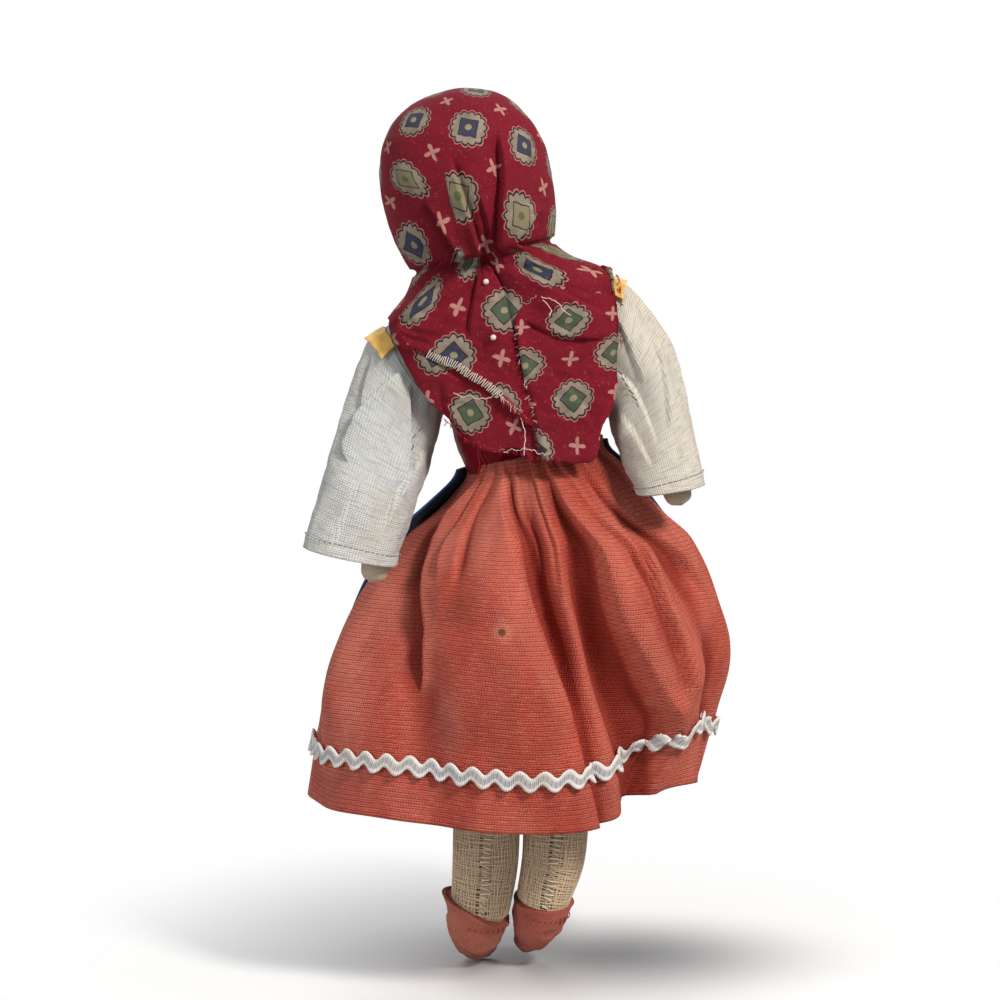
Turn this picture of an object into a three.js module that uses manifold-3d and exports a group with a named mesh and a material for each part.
// Souvenir folk doll: stuffed cloth body, linen sleeves, satin vest, gathered skirt and kerchief.
// Millimetres, +Z up. The doll faces -Y and its left side is +X.
// The upper body leans towards +X, so it is modelled upright in a group that is turned at the waist.
import * as THREE from 'three';
import Module from 'manifold-3d';

const wasm = await Module();
wasm.setup();

// Overall places
const WAIST_X = -5.3;
const WAIST_HEIGHT = 141;
const BODY_LEAN = 13;
const HIP_HEIGHT = 103;
const HEM_HEIGHT = 47;

// Body and limbs
const SHOULDER_HEIGHT = 45;
const SHOULDER_REACH = 31;
const NECK_RADIUS = 6;
const NECK_TOP = 59.4;
const DOWEL_RADIUS = 2.5;
const DOWEL_BOTTOM = 24;
const DOWEL_TOP = 80;
const HEAD_CENTRE = 82;
const HEAD_WIDTH = 41;
const HEAD_DEPTH = 42;
const LEFT_ARM_LENGTH = 66;
const RIGHT_ARM_LENGTH = 63.5;
const ARM_RADIUS = 4.3;
const LEFT_ARM_SPREAD = 24.7;
const RIGHT_ARM_SPREAD = 5.3;
const LEG_RADIUS = 8.5;
const ANKLE_HEIGHT = 28.5;

// Clothes
const NECKLINE_HEIGHT = 59.6;
const HOOD_WIDTH = 47.6;
const HOOD_DEPTH = 49;
const HOOD_TOP = 106;
const HOOD_CENTRE = 79;
const FACE_OPENING = 117;
const SKIRT_WAIST_WIDTH = 39;
const SKIRT_WIDTH = 111.8;
const SKIRT_DEPTH = 90;
const LEFT_SLEEVE_LENGTH = 61.7;
const RIGHT_SLEEVE_LENGTH = 60.1;
const BRAID_HEIGHT = 6.8;
const BRAID_BAND = 2.8;
const BRAID_WAVES = 56;
const BRAID_THICKNESS = 0.8;
const BRAID_OVER_SKIRT = 0.95;
const BRAID_ABOVE_HEM = 15.5;
const APRON_LENGTH = 66;

// Cloth thicknesses and fits
const COTTON = 0.8;
const LINEN = 0.7;
const LAWN = 0.4;
const SATIN = 0.8;
const HANDWEAVE = 0.8;
const GAUZE = 0.5;
const RIBBON = 0.6;
const SOLE_CLOTH = 1.2;
const CLEARANCE = 0.35;

const rad = THREE.MathUtils.degToRad;

// A smooth run through rows of [position, value, value...], which gives the values at a position.
function along(rows) {
  const last = rows.length - 1;
  const slope = (i, k) => {
    const a = Math.max(i - 1, 0);
    const b = Math.min(i + 1, last);
    return (rows[b][k] - rows[a][k]) / (rows[b][0] - rows[a][0]);
  };
  return (position) => {
    let i = 0;
    while (i < last - 1 && position > rows[i + 1][0]) i += 1;
    const span = rows[i + 1][0] - rows[i][0];
    const t = THREE.MathUtils.clamp((position - rows[i][0]) / span, 0, 1);
    const t2 = t * t;
    const t3 = t2 * t;
    return rows[i].slice(1).map((_, n) => {
      const k = n + 1;
      return (2 * t3 - 3 * t2 + 1) * rows[i][k] + (t3 - 2 * t2 + t) * span * slope(i, k)
        + (3 * t2 - 2 * t3) * rows[i + 1][k] + (t3 - t2) * span * slope(i + 1, k);
    });
  };
}

const bump = (distance, width) => Math.exp(-(distance * distance) / (width * width));

// A closed mesh from points and triangles, turned so that its faces point out.
function closedMesh(points, triangles) {
  let volume = 0;
  for (const [a, b, c] of triangles) {
    volume += points[a].dot(new THREE.Vector3().crossVectors(points[b], points[c]));
  }
  const index = volume < 0 ? triangles.map(([a, b, c]) => [a, c, b]) : triangles;
  const geometry = new THREE.BufferGeometry().setFromPoints(points);
  geometry.setIndex(index.flat());
  geometry.computeVertexNormals();
  return geometry;
}

// The outward normal of a surface at (u, v), by small steps each way.
function normalAt(surface, u, v, sign) {
  const step = 0.004;
  const du = surface(u + step, v).sub(surface(u - step, v));
  const dv = surface(u, Math.min(v + step, 1)).sub(surface(u, Math.max(v - step, 0)));
  return du.cross(dv).normalize().multiplyScalar(sign);
}

// Cloth over a surface: a closed thin wall between two distances from it, along its normals.
// A wrapped cloth closes on itself in u. With a pole, its first row is one point.
// Where the surface is made of facets, the smooth one under it gives the normals.
function cloth(surface, columns, rows, from, to, options = {}) {
  const { wrapped = false, pole = false, inside, smooth = surface } = options;
  const across = wrapped ? columns : columns + 1;
  const middle = inside ?? new THREE.Vector3();
  let outward = 0;
  for (let i = 0; i < columns; i += 1) {
    for (let j = 0; j < rows; j += 1) {
      const u = (i + 0.5) / columns;
      const v = (j + 0.5) / rows;
      outward += normalAt(smooth, u, v, 1).dot(smooth(u, v).sub(middle)) > 0 ? 1 : -1;
    }
  }
  const sign = Math.sign(outward);
  const points = [];
  const layers = [from, to].map((distance) => {
    const grid = [];
    for (let j = 0; j <= rows; j += 1) {
      const row = [];
      for (let i = 0; i < across; i += 1) {
        if (pole && j === 0 && i > 0) {
          row.push(row[0]);
        } else {
          const v = pole && j === 0 ? 0.01 : j / rows;
          const normal = normalAt(smooth, i / columns, v, sign);
          if (pole && j === 0) normal.set(0, 1, 0);
          row.push(points.length);
          points.push(surface(i / columns, j / rows).addScaledVector(normal, distance));
        }
      }
      grid.push(row);
    }
    return grid;
  });
  const triangles = [];
  const quad = (a, b, c, d) => {
    if (a !== b) triangles.push([a, b, c]);
    if (c !== d) triangles.push([a, c, d]);
  };
  const [inner, outer] = layers;
  for (let j = 0; j < rows; j += 1) {
    for (let i = 0; i < columns; i += 1) {
      const n = (i + 1) % across;
      quad(outer[j][i], outer[j][n], outer[j + 1][n], outer[j + 1][i]);
      quad(inner[j][n], inner[j][i], inner[j + 1][i], inner[j + 1][n]);
    }
  }
  for (let i = 0; i < columns; i += 1) {
    const n = (i + 1) % across;
    if (!pole) quad(outer[0][n], outer[0][i], inner[0][i], inner[0][n]);
    quad(outer[rows][i], outer[rows][n], inner[rows][n], inner[rows][i]);
  }
  if (!wrapped) {
    for (let j = 0; j < rows; j += 1) {
      quad(outer[j][0], outer[j + 1][0], inner[j + 1][0], inner[j][0]);
      quad(outer[j + 1][columns], outer[j][columns], inner[j][columns], inner[j + 1][columns]);
    }
  }
  return closedMesh(points, triangles);
}

// The same surface as flat facets, as cloth() builds them, for what is sewn or laid onto it.
function faceted(surface, columns, rows) {
  return (u, v) => {
    const i = Math.floor(u * columns);
    const j = THREE.MathUtils.clamp(Math.floor(v * rows), 0, rows - 1);
    const across = u * columns - i;
    const up = v * rows - j;
    const corner = (a, b) => surface((i + a) / columns, (j + b) / rows);
    const start = corner(0, 0);
    const far = corner(1, 1);
    const [near, first, second] = across > up
      ? [corner(1, 0), across, up]
      : [corner(0, 1), up, across];
    return start.clone()
      .addScaledVector(near.clone().sub(start), first)
      .addScaledVector(far.sub(near), second);
  };
}

// A stuffed form through oval rings, closed by a point at each end. ring(t, angle) gives a point.
function stuffed(ring, steps, sides, start, end) {
  const points = [start];
  for (let j = 0; j <= steps; j += 1) {
    for (let i = 0; i < sides; i += 1) points.push(ring(j / steps, (i / sides) * 2 * Math.PI));
  }
  points.push(end);
  const triangles = [];
  const at = (j, i) => 1 + j * sides + (i % sides);
  for (let i = 0; i < sides; i += 1) {
    triangles.push([0, at(0, i + 1), at(0, i)]);
    triangles.push([points.length - 1, at(steps, i), at(steps, i + 1)]);
    for (let j = 0; j < steps; j += 1) {
      triangles.push([at(j, i), at(j, i + 1), at(j + 1, i + 1)]);
      triangles.push([at(j, i), at(j + 1, i + 1), at(j + 1, i)]);
    }
  }
  return closedMesh(points, triangles);
}

// Cuts and joins
function toSolid(geometry) {
  const places = geometry.getAttribute('position');
  const keys = new Map();
  const vertices = [];
  const order = [];
  for (let i = 0; i < places.count; i += 1) {
    const p = [places.getX(i), places.getY(i), places.getZ(i)];
    const key = p.map((value) => Math.round(value * 1e5) + 0).join(' ');
    if (!keys.has(key)) {
      keys.set(key, vertices.length / 3);
      vertices.push(...p);
    }
    order.push(keys.get(key));
  }
  const corners = geometry.index ? [...geometry.index.array] : order.map((_, i) => i);
  const merged = corners.map((corner) => order[corner]);
  const kept = [];
  for (let i = 0; i < merged.length; i += 3) {
    const [a, b, c] = merged.slice(i, i + 3);
    if (a !== b && b !== c && c !== a) kept.push(a, b, c);
  }
  const mesh = new wasm.Mesh({
    numProp: 3,
    vertProperties: new Float32Array(vertices),
    triVerts: new Uint32Array(kept),
  });
  return new wasm.Manifold(mesh);
}

function toGeometry(solid) {
  const mesh = solid.getMesh();
  const geometry = new THREE.BufferGeometry();
  geometry.setAttribute('position', new THREE.BufferAttribute(mesh.vertProperties, 3));
  geometry.setIndex(new THREE.BufferAttribute(mesh.triVerts, 1));
  geometry.computeVertexNormals();
  return geometry;
}

const cut = (geometry, ...tools) => toGeometry(
  tools.reduce((solid, tool) => solid.subtract(toSolid(tool)), toSolid(geometry)),
);

function box(width, depth, height, x, y, z) {
  return new THREE.BoxGeometry(width, depth, height).translate(x, y, z);
}

function uprightRod(radius, bottom, top, x = 0, y = 0, sides = 16) {
  return new THREE.CylinderGeometry(radius, radius, top - bottom, sides)
    .rotateX(Math.PI / 2).translate(x, y, (top + bottom) / 2);
}

// Torso: height along the body, sideways shift, drop, turn of the ring, half width, half depth.
// Below the waist the body straightens up, so the seat is level.
const torsoRow = along([
  [-34, 9.6, -33.4, BODY_LEAN, 8, 3.5],
  [-31, 9, -30.5, BODY_LEAN, 16.5, 8],
  [-22, 7, -22, BODY_LEAN, 21, 12.5],
  [-11, 3, -11, 7, 19, 12.5],
  [0, 0, 0, 0, 16.5, 11.5],
  [14, 0, 14, 0, 18.3, 12.5],
  [28, 0, 28, 0, 22, 13],
  [36, 0, 36, 0, 25.8, 12.4],
  [42, 0, 42, 0, 28.3, 11],
  [44.6, 0, 44.6, 0, 26.5, 8.8],
  [46.5, 0, 46.3, 0, 16, 7.2],
]);

function torsoPoint(turn, height) {
  const [shift, level, tilt, halfWidth, halfDepth] = torsoRow(height);
  const side = Math.cos(turn) * halfWidth;
  return new THREE.Vector3(
    shift + side * Math.cos(rad(tilt)),
    Math.sin(turn) * halfDepth,
    level + side * Math.sin(rad(tilt)),
  );
}

// Ring heights that the body and the bodice over it share, so that their facets stay parallel
const SEAT_LEVELS = [-34, -31, -26, -20, -11, -4];
const CHEST_LEVELS = [1.4, 10, 20, 29, 35, 39.5, 42.5, 44.2, 45.4];
const BODY_SIDES = 22;

const stepped = (levels) => (v) => {
  const at = THREE.MathUtils.clamp(v, 0, 1) * (levels.length - 1);
  const i = Math.min(Math.floor(at), levels.length - 2);
  return THREE.MathUtils.lerp(levels[i], levels[i + 1], at - i);
};

function makeTorso() {
  const levels = [...SEAT_LEVELS, ...CHEST_LEVELS, 46.5];
  const level = stepped(levels);
  const body = stuffed(
    (t, turn) => torsoPoint(turn, level(t)),
    levels.length - 1, BODY_SIDES, new THREE.Vector3(9.8, 0, -33.9), new THREE.Vector3(0, 0, 46.8),
  );
  const bore = uprightRod(DOWEL_RADIUS + CLEARANCE, DOWEL_BOTTOM - CLEARANCE, 60);
  return cut(body, bore);
}

function makeNeck() {
  const outside = uprightRod(NECK_RADIUS, 47.2, NECK_TOP, 0, 0, 20);
  const bore = uprightRod(DOWEL_RADIUS + CLEARANCE, 40, 70);
  return cut(outside, bore);
}

// Head: a stuffed ball, fuller at the cheeks, with a small chin and nose on the -Y side.
function headPoint(turn, slope) {
  const halfHeight = slope < 0 ? HEAD_CENTRE - NECK_TOP - 0.9 : 21.5;
  const level = Math.sin(slope);
  const round = Math.cos(slope);
  const cheek = 1 - 0.1 * level - 0.12 * level * level * (level < 0 ? 1 : 0);
  const point = new THREE.Vector3(
    (HEAD_WIDTH / 2) * round * cheek * Math.cos(turn),
    (HEAD_DEPTH / 2) * round * cheek * Math.sin(turn),
    HEAD_CENTRE + halfHeight * level,
  );
  if (point.y < 0) {
    const nose = 2.4 * bump(point.x, 2.6) * bump(point.z - HEAD_CENTRE + 2, 3.2);
    const chin = 1.4 * bump(point.x, 6) * bump(point.z - HEAD_CENTRE + 15, 5);
    point.y -= nose + chin;
  }
  return point;
}

function makeHead() {
  const ball = stuffed(
    (t, turn) => headPoint(turn, THREE.MathUtils.lerp(-1.35, 1.35, t)),
    12, 20, new THREE.Vector3(0, 0, NECK_TOP + 0.9), new THREE.Vector3(0, 0, 103.5),
  );
  const bore = uprightRod(DOWEL_RADIUS + CLEARANCE, 50, DOWEL_TOP + CLEARANCE);
  return cut(ball, bore);
}

// One lock of hair: it lies on the forehead and temple, from the parting outwards.
function makeHair(side) {
  const surface = (u, v) => {
    const turn = -Math.PI / 2 + side * THREE.MathUtils.lerp(0.06, 1.25, u);
    const low = THREE.MathUtils.lerp(0.82, 0.05, Math.sqrt(Math.max(u, 0)));
    return headPoint(turn, THREE.MathUtils.lerp(low, low + 0.42, v));
  };
  return cloth(surface, 8, 3, 0.3, 1.1, { inside: new THREE.Vector3(0, 0, HEAD_CENTRE) });
}

// Kerchief over the head. (turn, reach) go round and away from the middle of its back.
// Its folds run together at the nape, where it is gathered.
const NAPE = new THREE.Vector3(1.6, 0, 57);

function hoodPoint(u, v) {
  const turn = u * 2 * Math.PI;
  const reach = rad(FACE_OPENING) * v;
  const up = Math.cos(turn) > 0 ? HOOD_TOP - HOOD_CENTRE : 32;
  const square = 0.05 * Math.sin(2 * turn) ** 2 * Math.sin(reach);
  const point = new THREE.Vector3(
    1.2 + (HOOD_WIDTH / 2) * Math.sin(reach) * Math.sin(turn) * (1 + square),
    (HOOD_DEPTH / 2) * Math.cos(reach),
    HOOD_CENTRE + up * Math.sin(reach) * Math.cos(turn) * (1 + square),
  );
  const fromNape = Math.hypot(point.x - NAPE.x, point.z - NAPE.z);
  const direction = Math.atan2(point.x - NAPE.x, point.z - NAPE.z);
  const behind = THREE.MathUtils.smoothstep(point.y, 0, 10);
  const folds = 0.9 * Math.cos(direction * 7 + 0.6) * bump(fromNape - 13, 13) * behind;
  const pinch = 3.2 * bump(fromNape, 9) * behind;
  point.y += folds - pinch;
  return point;
}

function makeHood() {
  const middle = new THREE.Vector3(1.2, 0, HOOD_CENTRE);
  const shell = cloth(hoodPoint, 32, 8, -COTTON, 0, { wrapped: true, pole: true, inside: middle });
  return cut(shell, box(90, 90, 40, 0, 0, NECKLINE_HEIGHT + 0.25 - 20));
}

// Kerchief over the shoulders. Level by level its section is a rounded box.
const capeLevel = along([
  [-6, 29, 19.5, 15],
  [10, 30, 18, 15],
  [24, 31.5, 16.6, 15],
  [40, 33, 15, 14.5],
  [47, 32.4, 14.2, 14],
  [50, 29.4, 14, 14],
  [54, 23.8, 14.3, 14.5],
  [59.3, 19.6, 15, 16],
]);

// Lowest level of the cape at each turn from the middle of the back, the doll's left positive.
const capeHem = along([
  [-170, 50.2], [-135, 48.8], [-72, 48.8], [-59, 43], [-52, 28], [-45, 14], [-36, 4.5],
  [-30, -3], [-24, -4], [-8, -1], [0, 1], [6, 6], [24, 8], [35, 18], [44, 26], [52, 40],
  [60, 47.5], [72, 48.8], [135, 48.8], [170, 50.2],
]);

// Where the kerchief's right layer ends over the left one, and the left layer's diagonal edge.
const LAYER_EDGE = -4;
const FLAP_OVER_CAPE = 0.5;
const FLAP_REACH = 48;
const flapHem = along([[-4, 11.5], [0, 13], [8, 20], [23, 30.5], [40, 39], [50, 45]]);

function capePoint(degrees, level) {
  const [halfWidth, back, front] = capeLevel(level);
  const turn = rad(degrees);
  const n = THREE.MathUtils.lerp(3.4, 2.2, THREE.MathUtils.smoothstep(level, 45, 59));
  const s = Math.sin(turn);
  const c = Math.cos(turn);
  const r = (Math.abs(s) ** n + Math.abs(c) ** n) ** (-1 / n);
  const near = THREE.MathUtils.smoothstep(level, 48, 58);
  const point = new THREE.Vector3(
    1.2 * near + halfWidth * s * r,
    (c > 0 ? back : front) * c * r,
    level,
  );
  if (c > 0) {
    const fromNape = Math.hypot(point.x - NAPE.x, point.z - NAPE.z);
    const direction = Math.atan2(point.x - NAPE.x, NAPE.z - point.z);
    const middle = THREE.MathUtils.smoothstep(c, 0.6, 0.85);
    point.y += 0.8 * Math.cos(direction * 6) * bump(fromNape - 20, 22) * middle;
    point.y -= 2.6 * bump(fromNape, 8);
    point.y += 1.2 * (1 - THREE.MathUtils.smoothstep(degrees, LAYER_EDGE - 3, LAYER_EDGE)) * middle;
  }
  return point;
}

const CAPE_REACH = 168;
const CAPE_TOP = NECKLINE_HEIGHT - 0.25;
const CAPE_COLUMNS = 48;
const CAPE_ROWS = 7;

function capeSurface(u, v) {
  const degrees = THREE.MathUtils.lerp(-CAPE_REACH, CAPE_REACH, u);
  return capePoint(degrees, THREE.MathUtils.lerp(capeHem(degrees)[0], CAPE_TOP, v));
}

const onCapeCloth = faceted(capeSurface, CAPE_COLUMNS, CAPE_ROWS);

function makeCape() {
  const middle = new THREE.Vector3(0, 0, 30);
  return cloth(capeSurface, CAPE_COLUMNS, CAPE_ROWS, -COTTON, 0, { inside: middle });
}

function makeFlap() {
  const onto = (surface) => (u, v) => {
    const degrees = THREE.MathUtils.lerp(LAYER_EDGE + 1, FLAP_REACH, u);
    const level = THREE.MathUtils.lerp(flapHem(degrees)[0], THREE.MathUtils.lerp(57, 50, u * u), v);
    const hem = capeHem(degrees)[0];
    return surface((degrees + CAPE_REACH) / (2 * CAPE_REACH), (level - hem) / (CAPE_TOP - hem));
  };
  const middle = new THREE.Vector3(0, 0, 30);
  return cloth(
    onto(onCapeCloth), 14, 6, FLAP_OVER_CAPE, FLAP_OVER_CAPE + COTTON,
    { inside: middle, smooth: onto(capeSurface) },
  );
}

// The kerchief's tie under the chin: a knot and two short ends.
const KNOT = new THREE.Vector3(0.5, -16.8, 53);

function makeKnot() {
  return stuffed(
    (t, turn) => {
      const swell = Math.sin(Math.PI * THREE.MathUtils.lerp(0.12, 0.88, t));
      const pinch = 1 + 0.12 * Math.cos(2 * turn + 6 * t);
      return new THREE.Vector3(
        KNOT.x + THREE.MathUtils.lerp(-5, 5, t),
        KNOT.y + 3.6 * swell * pinch * Math.cos(turn),
        KNOT.z + 4.4 * swell * pinch * Math.sin(turn),
      );
    },
    6, 12, KNOT.clone().add(new THREE.Vector3(-5.5, 0, 0)), KNOT.clone().add(new THREE.Vector3(5.5, 0, 0)),
  );
}

function makeTail(side) {
  const length = 22;
  const surface = (u, v) => {
    const down = v * length;
    const halfWidth = THREE.MathUtils.lerp(2.2, 8, Math.sin(v * 2.1)) * (v > 0.75 ? 4 * (1 - v) + 0.1 : 1);
    const across = (u - 0.5) * 2 * halfWidth;
    return new THREE.Vector3(
      KNOT.x + side * (3.1 + down * 0.42) + across * 0.9,
      KNOT.y + 0.9 * Math.cos(u * 3 * Math.PI) * v - 0.02 * down,
      KNOT.z - 4.2 - down + across * side * 0.25,
    );
  };
  return cloth(surface, 8, 6, 0, COTTON, { inside: new THREE.Vector3(0, 30, 40) });
}

// Bead-headed pin: its bead stands clear of the cloth, its shank goes through a hole in it.
const PIN_BEAD = 1.25;
const PIN_SHANK = 0.35;

function makePin(length) {
  const bead = Array.from({ length: 5 }, (_, i) => {
    const turn = THREE.MathUtils.lerp(-1.2, Math.PI / 2, i / 4);
    return new THREE.Vector2(i === 4 ? 0 : PIN_BEAD * Math.cos(turn), PIN_BEAD * (1 + Math.sin(turn)));
  });
  const profile = [new THREE.Vector2(0, -length), new THREE.Vector2(PIN_SHANK, 0.6 - length)];
  profile.push(new THREE.Vector2(PIN_SHANK, 0.05), ...bead);
  return new THREE.LatheGeometry(profile, 8);
}

// Bodice pieces over the torso
const neckline = (geometry, drop) => cut(
  geometry,
  new THREE.CylinderGeometry(9.5, 9.5, 60, 20).rotateX(Math.PI / 2).translate(0, 0, 60),
  new THREE.CylinderGeometry(drop, drop, 40, 20).scale(0.55, 1, 1).translate(0, -20, 47),
);

function bodice(from, to) {
  const level = stepped(CHEST_LEVELS);
  const surface = (u, v) => torsoPoint(u * 2 * Math.PI, level(v));
  const middle = new THREE.Vector3(0, 0, 22);
  return cloth(surface, BODY_SIDES, CHEST_LEVELS.length - 1, from, to, { wrapped: true, inside: middle });
}

function makeBlouse() {
  return neckline(bodice(CLEARANCE, CLEARANCE + LAWN), 9);
}

const VEST_OVER_BODY = CLEARANCE + LAWN + CLEARANCE;

function armhole(side) {
  return new THREE.CylinderGeometry(1, 1, 24, 20)
    .rotateZ(Math.PI / 2)
    .scale(1, 8.2, 13.5)
    .translate(side * 32, 0, 33);
}

function makeVest() {
  const shell = bodice(VEST_OVER_BODY, VEST_OVER_BODY + SATIN);
  return cut(neckline(shell, 17), armhole(1), armhole(-1));
}

// Skirt: level, middle, half width, depth at the back and at the front, in world places.
const HALF_WIDE = SKIRT_WIDTH / 2;
const HALF_DEEP = SKIRT_DEPTH / 2;
const skirtRow = along([
  [HEM_HEIGHT, 3.2, HALF_WIDE, HALF_DEEP - 0.5, HALF_DEEP + 0.5],
  [62, 0.7, HALF_WIDE, HALF_DEEP - 1.5, HALF_DEEP - 0.5],
  [86, -4.2, HALF_WIDE - 0.5, HALF_DEEP - 4, HALF_DEEP - 3],
  [104, -6.6, HALF_WIDE - 6.2, HALF_DEEP - 8, HALF_DEEP - 8],
  [120, -9.2, HALF_WIDE - 16, 31, 29],
  [126, -8, HALF_WIDE - 22.6, 27.5, 26],
  [131, -6.8, HALF_WIDE - 27.6, 23.5, 22],
  [137, -6, 23.2, 18, 17],
  [WAIST_HEIGHT, WAIST_X, SKIRT_WAIST_WIDTH / 2, 13.6, 13.6],
]);

// Folds: [turn at the waist, then at 120, 104, 86, 62 and the hem], depth, width in degrees.
// Turns count from the middle of the back towards the doll's left. A hollow has a minus depth.
const FOLDS = [
  { path: [34, 57, 47, 34, 24, 18], depth: -5.5, width: 10 },
  { path: [22, 14, 4, -4, -17, -27], depth: 3.2, width: 11 },
  { path: [14, 6, -5, -13, -27, -37], depth: -4.5, width: 7 },
  { path: [-2, -11, -20, -23, -37, -47], depth: 6.5, width: 12 },
  { path: [-14, -27, -36, -42, -60, -70], depth: -11, width: 12 },
  { path: [-38, -44, -52, -55, -75, -86], depth: 2.5, width: 12 },
  { path: [60, 82, 76, 70, 62, 56], depth: 2.5, width: 12 },
  { path: [96, 104, 106, 108, 110, 112], depth: -4, width: 10 },
  { path: [118, 124, 128, 130, 132, 134], depth: 3.5, width: 10 },
  { path: [142, 148, 150, 152, 155, 156], depth: -4.5, width: 9 },
  { path: [166, 172, 175, 177, 180, 180], depth: 3.5, width: 10 },
  { path: [-168, -164, -160, -158, -156, -154], depth: -4.5, width: 9 },
  { path: [-142, -138, -135, -132, -130, -128], depth: 3.5, width: 10 },
  { path: [-120, -114, -110, -108, -106, -106], depth: -3.5, width: 9 },
];
const FOLD_LEVELS = [WAIST_HEIGHT, 120, 104, 86, 62, HEM_HEIGHT];
const foldRuns = FOLDS.map(({ path, depth, width }) => ({
  depth,
  width,
  turn: along(FOLD_LEVELS.map((level, i) => [level, path[i]]).reverse()),
}));
const GATHERS = 44;

function apart(a, b) {
  const d = (((a - b) % 360) + 540) % 360;
  return d - 180;
}

function skirtPoint(u, v) {
  const degrees = u * 360 - 180;
  const level = THREE.MathUtils.lerp(HEM_HEIGHT, WAIST_HEIGHT, v);
  const [middle, halfWidth, back, front] = skirtRow(level);
  const turn = rad(degrees);
  const grown = 1 - THREE.MathUtils.smoothstep(v, 0.55, 1);
  let fold = 0;
  for (const run of foldRuns) {
    fold += run.depth * bump(apart(degrees, run.turn(level)[0]), run.width);
  }
  const gather = 0.5 * Math.sin(GATHERS / 2 * turn) * THREE.MathUtils.smoothstep(v, 0.7, 0.95);
  const reach = 1 + (fold * (0.12 + 0.88 * grown) + gather) / 46;
  const x = halfWidth * Math.sin(turn) * reach;
  const y = (Math.cos(turn) > 0 ? back : front) * Math.cos(turn) * reach;
  const tilt = Math.tan(rad(BODY_LEAN)) * THREE.MathUtils.smoothstep(v, 0.75, 1);
  return new THREE.Vector3(middle + x, y, level - tilt * x);
}

const SKIRT_COLUMNS = 60;
const SKIRT_ROWS = 9;
const onSkirtCloth = faceted(skirtPoint, SKIRT_COLUMNS, SKIRT_ROWS);

function makeSkirt() {
  const middle = new THREE.Vector3(0, 0, 90);
  return cloth(skirtPoint, SKIRT_COLUMNS, SKIRT_ROWS, -HANDWEAVE, 0, { wrapped: true, inside: middle });
}

// Zigzag braid round the skirt above its hem
function makeBraid() {
  const steps = BRAID_WAVES * 2;
  const tall = WAIST_HEIGHT - HEM_HEIGHT;
  const swing = (BRAID_HEIGHT - BRAID_BAND) / 2;
  const onto = (surface) => (u, v) => {
    const wave = Math.cos(Math.round(u * steps) * Math.PI) * swing;
    const level = BRAID_ABOVE_HEM + wave + (v - 0.5) * BRAID_BAND * 1.25;
    return surface(((u % 1) + 1) % 1, level / tall);
  };
  return cloth(
    onto(onSkirtCloth), steps, 1, BRAID_OVER_SKIRT, BRAID_OVER_SKIRT + BRAID_THICKNESS,
    { wrapped: true, inside: new THREE.Vector3(0, 0, 62), smooth: onto(skirtPoint) },
  );
}

// Apron over the front of the skirt. Its gathered top stands off at both sides.
// It reaches round to these turns from the middle of the front, at its top and at its hem.
const APRON_TOP_TURN = 97;
const APRON_HEM_TURN = 70;
const APRON_RIGHT_SHARE = 0.82;
const APRON_OVER_SKIRT = 1.3;

function makeApron() {
  const tall = WAIST_HEIGHT - HEM_HEIGHT;
  const onto = (surface) => (u, v) => {
    const across = u * 2 - 1;
    const share = across < 0 ? APRON_RIGHT_SHARE : 1;
    const turn = 180 - share * across * THREE.MathUtils.lerp(APRON_HEM_TURN, APRON_TOP_TURN, v);
    const level = tall - THREE.MathUtils.lerp(APRON_LENGTH, 4, v);
    const at = surface((((turn + 180) / 360) % 1 + 1) % 1, level / tall);
    const stand = 6 * Math.abs(across) ** 4 * bump(level / tall - 0.9, 0.16);
    const wave = 0.8 * (1 + Math.cos(across * 26)) * (1 - v);
    const away = new THREE.Vector3(at.x - WAIST_X, at.y, 0).normalize();
    return at.addScaledVector(away, APRON_OVER_SKIRT + stand + wave);
  };
  return cloth(
    onto(onSkirtCloth), 32, 7, 0, RIBBON,
    { inside: new THREE.Vector3(WAIST_X, 0, 100), smooth: onto(skirtPoint) },
  );
}

function makeApronBand() {
  const over = VEST_OVER_BODY + SATIN + CLEARANCE;
  const surface = (u, v) => {
    const turn = -Math.PI / 2 + (u - 0.5) * 2 * rad(98);
    return torsoPoint(turn, THREE.MathUtils.lerp(0.9, 5.4, v));
  };
  return cloth(surface, 18, 2, over, over + RIBBON, { inside: new THREE.Vector3(0, 0, 3) });
}

// Sleeves, in the arm's own frame: x outwards, z up the arm, from the shoulder seam at the origin.
// outer and inner are the sleeve's silhouette edges from armhole to cuff; back is its middle's y.
function sleeveSurface({ side, outer, inner, depth }) {
  return (u, v) => {
    const down = 1 - v;
    const [ox, oz] = outer(down);
    const [ix, iz] = inner(down);
    const [half, back] = depth(down);
    const turn = u * 2 * Math.PI;
    const c = Math.cos(turn);
    const s = Math.sin(turn);
    const billow = 1 + 0.07 * Math.cos(5 * turn + 2.2 * down) * Math.sin(Math.PI * Math.min(down * 1.4, 1));
    return new THREE.Vector3(
      side * ((ox + ix) / 2 + ((ox - ix) / 2) * c * billow),
      back + half * s * billow,
      (oz + iz) / 2 + ((oz - iz) / 2) * c,
    );
  };
}

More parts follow.
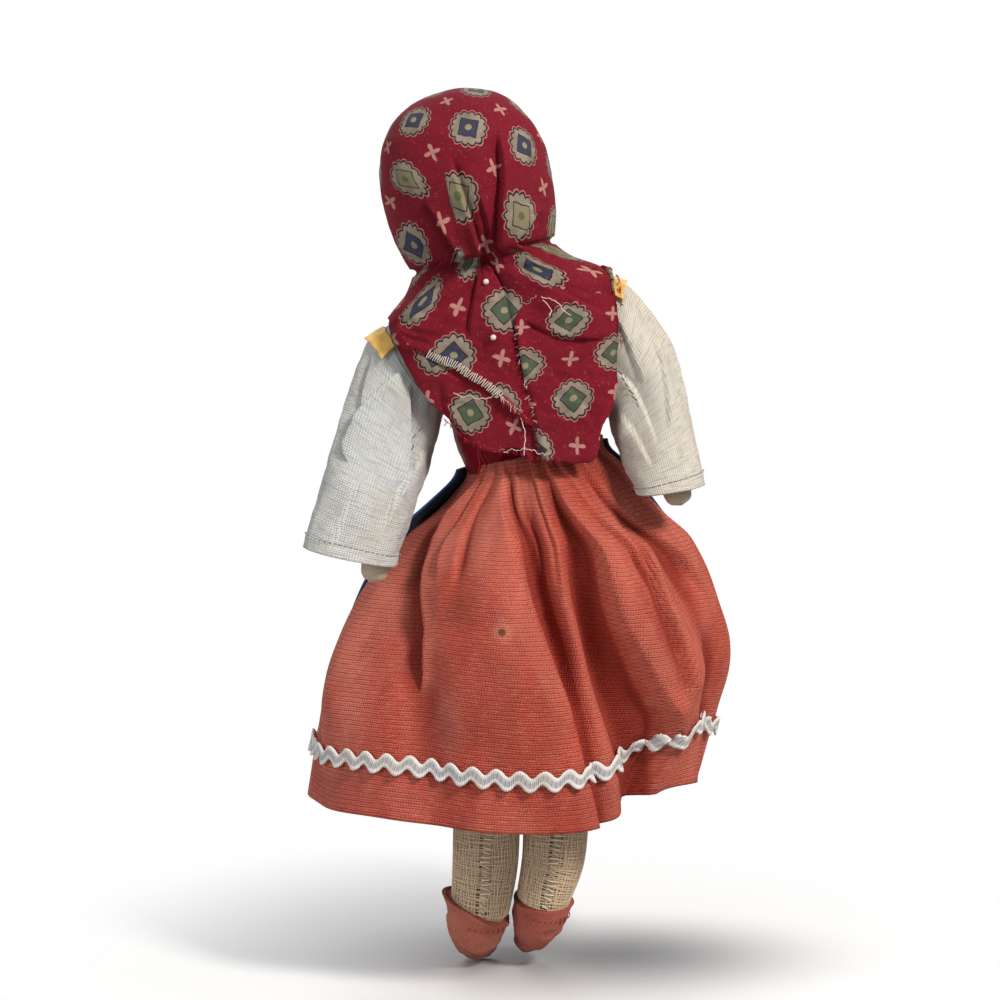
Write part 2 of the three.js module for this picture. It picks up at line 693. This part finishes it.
const LEFT_SLEEVE = {
  side: 1,
  length: LEFT_SLEEVE_LENGTH,
  outer: along([
    [0, 0.8, 1.4], [0.1, 4.8, -3], [0.2, 6.2, -10], [0.36, 7.6, -21], [0.75, 9.9, -46],
    [1, 11.3, -LEFT_SLEEVE_LENGTH],
  ]),
  inner: along([[0, -19, -19.2], [0.3, -18.8, -30], [0.7, -16.5, -47], [1, -15.3, -LEFT_SLEEVE_LENGTH]]),
  depth: along([[0, 8.2, 0], [0.35, 8.8, 4], [0.7, 9, 13], [1, 8.4, 20]]),
};
const RIGHT_SLEEVE = {
  side: -1,
  length: RIGHT_SLEEVE_LENGTH,
  outer: along([
    [0, 0.8, 1.4], [0.1, 5, -3.5], [0.2, 8, -11], [0.36, 11, -23], [0.75, 9.2, -45],
    [1, 7.4, -RIGHT_SLEEVE_LENGTH],
  ]),
  inner: along([[0, -11.4, -24.6], [0.3, -11.7, -35], [0.7, -12, -48], [1, -11.3, 3.2 - RIGHT_SLEEVE_LENGTH]]),
  depth: along([[0, 8.2, 0], [0.35, 9, 5], [0.7, 9.6, 15], [1, 9.2, 22]]),
};

function makeSleeve(sleeve) {
  const middle = new THREE.Vector3(sleeve.side * -4, 8, -32);
  return cloth(sleeveSurface(sleeve), 22, 9, -LINEN, 0, { wrapped: true, inside: middle });
}

function makeShoulderRibbon(sleeve) {
  const surface = (u, v) => sleeveSurface(sleeve)((u - 0.5) * 0.3, THREE.MathUtils.lerp(0.84, 0.94, v));
  const middle = new THREE.Vector3(sleeve.side * -4, 0, -20);
  return cloth(surface, 8, 2, 0.7, 0.7 + RIBBON, { inside: middle });
}

function makeArm(sleeve, length, shoulderOut, handOut) {
  const radius = along([[0, 2.6], [0.06, 3.8], [0.2, ARM_RADIUS], [0.7, ARM_RADIUS], [0.85, 3.5], [1, 2.8]]);
  const place = (t) => {
    const back = sleeve.depth(Math.min(t * length / sleeve.length, 1))[1];
    const out = THREE.MathUtils.lerp(shoulderOut, handOut, THREE.MathUtils.smoothstep(t, 0, 0.9));
    return new THREE.Vector3(sleeve.side * out, back, -4.4 - t * (length - 4.4));
  };
  return stuffed(
    (t, turn) => {
      const r = radius(t)[0];
      return place(t).add(new THREE.Vector3(r * Math.cos(turn), r * 0.9 * Math.sin(turn), 0));
    },
    10, 12, place(0).add(new THREE.Vector3(0, 0, 1)), place(1).add(new THREE.Vector3(0, 0, -1.8)),
  );
}

// Legs, in world places: fraction down the limb, x, y, z, half width, half depth.
const LEFT_LEG = along([
  [0, 6.4, 0, HIP_HEIGHT + 2.1, 7.6, 1.6],
  [0.05, 6.5, 0, HIP_HEIGHT - 1, LEG_RADIUS, 4.4],
  [0.2, 7.3, 0, 85, LEG_RADIUS, 7.4],
  [0.45, 8.2, 0, 55, LEG_RADIUS, 8],
  [0.66, 8.6, 0, ANKLE_HEIGHT, LEG_RADIUS, 8],
  [0.78, 9.9, 0.4, ANKLE_HEIGHT - 13, 7.7, 7.4],
  [0.86, 11.4, -2.4, ANKLE_HEIGHT - 21.4, 6.9, 6.8],
  [0.94, 11, -8.4, ANKLE_HEIGHT - 27.4, 5.2, 4.6],
  [1, 9.8, -13.6, ANKLE_HEIGHT - 30.8, 2.4, 2],
]);
const RIGHT_LEG = along([
  [0, -13.2, 0, HIP_HEIGHT + 2.1, 7.6, 1.6],
  [0.05, -13.2, 0, HIP_HEIGHT - 1, LEG_RADIUS, 4.4],
  [0.2, -12.8, 0, 85, LEG_RADIUS, 7.4],
  [0.45, -11.8, 0, 55, LEG_RADIUS, 8],
  [0.66, -11, 0, ANKLE_HEIGHT + 1, 8.1, 8],
  [0.78, -8.3, 0.4, ANKLE_HEIGHT - 11, 6.9, 7],
  [0.86, -6.5, -2, ANKLE_HEIGHT - 19, 6.1, 6.2],
  [0.94, -4.4, -7.4, ANKLE_HEIGHT - 25.4, 4.2, 4.2],
  [1, -2.9, -12, ANKLE_HEIGHT - 28.6, 1.8, 1.8],
]);

function limbFrame(leg, t) {
  const [x, y, z, halfWidth, halfDepth] = leg(t);
  const before = leg(Math.max(t - 0.03, 0));
  const after = leg(Math.min(t + 0.03, 1));
  const down = new THREE.Vector3(after[0] - before[0], after[1] - before[1], after[2] - before[2]);
  const across = new THREE.Vector3(1, 0, 0);
  const through = down.normalize().clone().cross(across).normalize();
  return { centre: new THREE.Vector3(x, y, z), across, through, down, halfWidth, halfDepth };
}

function limbPoint(leg, t, turn, thicker) {
  const { centre, across, through, halfWidth, halfDepth } = limbFrame(leg, t);
  return centre
    .addScaledVector(across, (halfWidth + thicker) * Math.cos(turn))
    .addScaledVector(through, (halfDepth + thicker) * Math.sin(turn));
}

function limb(leg, from, to, thicker, beyond, steps, sides) {
  const first = limbFrame(leg, from);
  const last = limbFrame(leg, to);
  return stuffed(
    (t, turn) => limbPoint(leg, THREE.MathUtils.lerp(from, to, t), turn, thicker),
    steps, sides,
    first.centre.clone().addScaledVector(first.down, -0.2),
    last.centre.clone().addScaledVector(last.down, beyond),
  );
}

const makeLeg = (leg) => limb(leg, 0, 1, 0, 1, 15, 14);

function makeStocking(leg) {
  const surface = (u, v) => limbPoint(leg, THREE.MathUtils.lerp(0.8, 0.22, v), u * 2 * Math.PI, 0);
  const middle = new THREE.Vector3(leg(0.5)[0], 0, 50);
  return cloth(surface, 14, 8, CLEARANCE, CLEARANCE + GAUZE, { wrapped: true, inside: middle });
}

function makeShoe(leg) {
  const inside = CLEARANCE + 0.1;
  const outer = limb(leg, 0.815, 1, inside + SOLE_CLOTH, 2.2, 8, 14);
  const hollow = limb(leg, 0.79, 1, inside, 1.5, 8, 14);
  return cut(outer, hollow);
}

// Where the longer foot rests when the doll is let down: its toe is cut flat there.
const TOE_FLAT = 0.5;

function lowest(geometry) {
  geometry.computeBoundingBox();
  return geometry.boundingBox.min.z;
}

// Materials
const cottonMaterial = new THREE.MeshStandardMaterial({ color: 0xa01e32, roughness: 0.85 });
const flapMaterial = new THREE.MeshStandardMaterial({ color: 0x96192e, roughness: 0.85 });
const linenMaterial = new THREE.MeshStandardMaterial({ color: 0xcfc8bd, roughness: 0.95 });
const coralMaterial = new THREE.MeshStandardMaterial({ color: 0xc45a44, roughness: 0.95 });
const braidMaterial = new THREE.MeshStandardMaterial({ color: 0xe1dcd7, roughness: 0.9 });
const satinMaterial = new THREE.MeshStandardMaterial({ color: 0x780a1e, roughness: 0.45 });
const ribbonMaterial = new THREE.MeshStandardMaterial({ color: 0xebbe5a, roughness: 0.5 });
const knitMaterial = new THREE.MeshStandardMaterial({ color: 0xc8b59a, roughness: 0.95 });
const gauzeMaterial = new THREE.MeshStandardMaterial({ color: 0xb9aa96, roughness: 0.95 });
const apronMaterial = new THREE.MeshStandardMaterial({ color: 0x264b64, roughness: 0.8 });
const faceMaterial = new THREE.MeshStandardMaterial({ color: 0xe0bfa4, roughness: 0.9 });
const hairMaterial = new THREE.MeshStandardMaterial({ color: 0x4a2f1c, roughness: 0.8 });
const woodMaterial = new THREE.MeshStandardMaterial({ color: 0xc09a66, roughness: 0.7 });
const steelMaterial = new THREE.MeshStandardMaterial({ color: 0xb9b9bd, roughness: 0.3, metalness: 0.9 });

function piece(name, geometry, material) {
  const mesh = new THREE.Mesh(geometry, material);
  mesh.name = name;
  return mesh;
}

// Assembly
const doll = new THREE.Group();
const upper = new THREE.Group();
upper.position.set(WAIST_X, 0, WAIST_HEIGHT);
upper.rotation.y = rad(BODY_LEAN);
doll.add(upper);

upper.add(piece('torso', makeTorso(), knitMaterial));
upper.add(piece('neck', makeNeck(), faceMaterial));
upper.add(piece('neck_dowel', uprightRod(DOWEL_RADIUS, DOWEL_BOTTOM, DOWEL_TOP), woodMaterial));
upper.add(piece('head', makeHead(), faceMaterial));
upper.add(piece('hair_left', makeHair(1), hairMaterial));
upper.add(piece('hair_right', makeHair(-1), hairMaterial));
upper.add(piece('kerchief_hood', makeHood(), cottonMaterial));
upper.add(piece('kerchief_knot', makeKnot(), cottonMaterial));
upper.add(piece('kerchief_tail_left', makeTail(1), cottonMaterial));
upper.add(piece('kerchief_tail_right', makeTail(-1), cottonMaterial));
upper.add(piece('blouse', makeBlouse(), linenMaterial));
upper.add(piece('apron_band', makeApronBand(), apronMaterial));

// Pins: where each stands on the back of the cape or vest, and how long its shank is.
const PIN_STAND = 0.5;
const pinHole = (x, y, z) => new THREE.CylinderGeometry(0.75, 0.75, 8, 10).translate(x, y, z);
const onCape = (degrees, level) => capePoint(degrees, level);
const napePin = onCape(3, 52.4);
const capePin = onCape(4, 37);
const vestPin = torsoPoint(rad(48), 4.5);
vestPin.y += VEST_OVER_BODY + SATIN;

function placePin(name, at, length, stand) {
  const pin = piece(name, makePin(length), steelMaterial);
  pin.position.set(at.x, at.y + stand, at.z);
  upper.add(pin);
}

const flapRise = FLAP_OVER_CAPE + COTTON;
placePin('nape_pin', napePin, 2.6, flapRise + PIN_STAND);
placePin('cape_pin', capePin, 2.6, flapRise + PIN_STAND);
placePin('vest_pin', vestPin, 1.2, PIN_STAND);
const capeHoles = [napePin, capePin].map((at) => pinHole(at.x, at.y, at.z));
upper.add(piece('kerchief_cape', cut(makeCape(), ...capeHoles), cottonMaterial));
upper.add(piece('kerchief_flap', cut(makeFlap(), ...capeHoles), flapMaterial));
upper.add(piece('vest', cut(makeVest(), pinHole(vestPin.x, vestPin.y, vestPin.z)), satinMaterial));

// Arms: each group sits at its shoulder seam and is turned by the arm's spread.
const ARMS = [
  {
    name: 'left', sleeve: LEFT_SLEEVE, spread: LEFT_ARM_SPREAD,
    length: LEFT_ARM_LENGTH, shoulderOut: -1.6, handOut: -9.1,
  },
  {
    name: 'right', sleeve: RIGHT_SLEEVE, spread: RIGHT_ARM_SPREAD,
    length: RIGHT_ARM_LENGTH, shoulderOut: 0.9, handOut: -0.5,
  },
];
for (const { name, sleeve, spread, length, shoulderOut, handOut } of ARMS) {
  const arm = new THREE.Group();
  arm.position.set(sleeve.side * SHOULDER_REACH, 0, SHOULDER_HEIGHT);
  arm.rotation.y = -sleeve.side * rad(spread);
  upper.add(arm);
  arm.add(piece(`${name}_arm`, makeArm(sleeve, length, shoulderOut, handOut), knitMaterial));
  arm.add(piece(`${name}_sleeve`, makeSleeve(sleeve), linenMaterial));
  arm.add(piece(`${name}_shoulder_ribbon`, makeShoulderRibbon(sleeve), ribbonMaterial));
}

doll.add(piece('skirt', makeSkirt(), coralMaterial));
doll.add(piece('skirt_rickrack', makeBraid(), braidMaterial));
doll.add(piece('apron', makeApron(), apronMaterial));

const leftShoe = makeShoe(LEFT_LEG);
const ground = lowest(leftShoe) + TOE_FLAT;
doll.add(piece('left_leg', makeLeg(LEFT_LEG), knitMaterial));
doll.add(piece('left_stocking', makeStocking(LEFT_LEG), gauzeMaterial));
doll.add(piece('left_shoe', cut(leftShoe, box(60, 60, 20, 10, -10, ground - 10)), coralMaterial));
doll.add(piece('right_leg', makeLeg(RIGHT_LEG), knitMaterial));
doll.add(piece('right_stocking', makeStocking(RIGHT_LEG), gauzeMaterial));
doll.add(piece('right_shoe', makeShoe(RIGHT_LEG), coralMaterial));

// The origin lies under the middle of the doll, level with its lower toe.
const bounds = new THREE.Box3().setFromObject(doll, true);
const middleOfDoll = bounds.getCenter(new THREE.Vector3());
doll.position.set(-middleOfDoll.x, -middleOfDoll.y, -bounds.min.z);

export default doll;
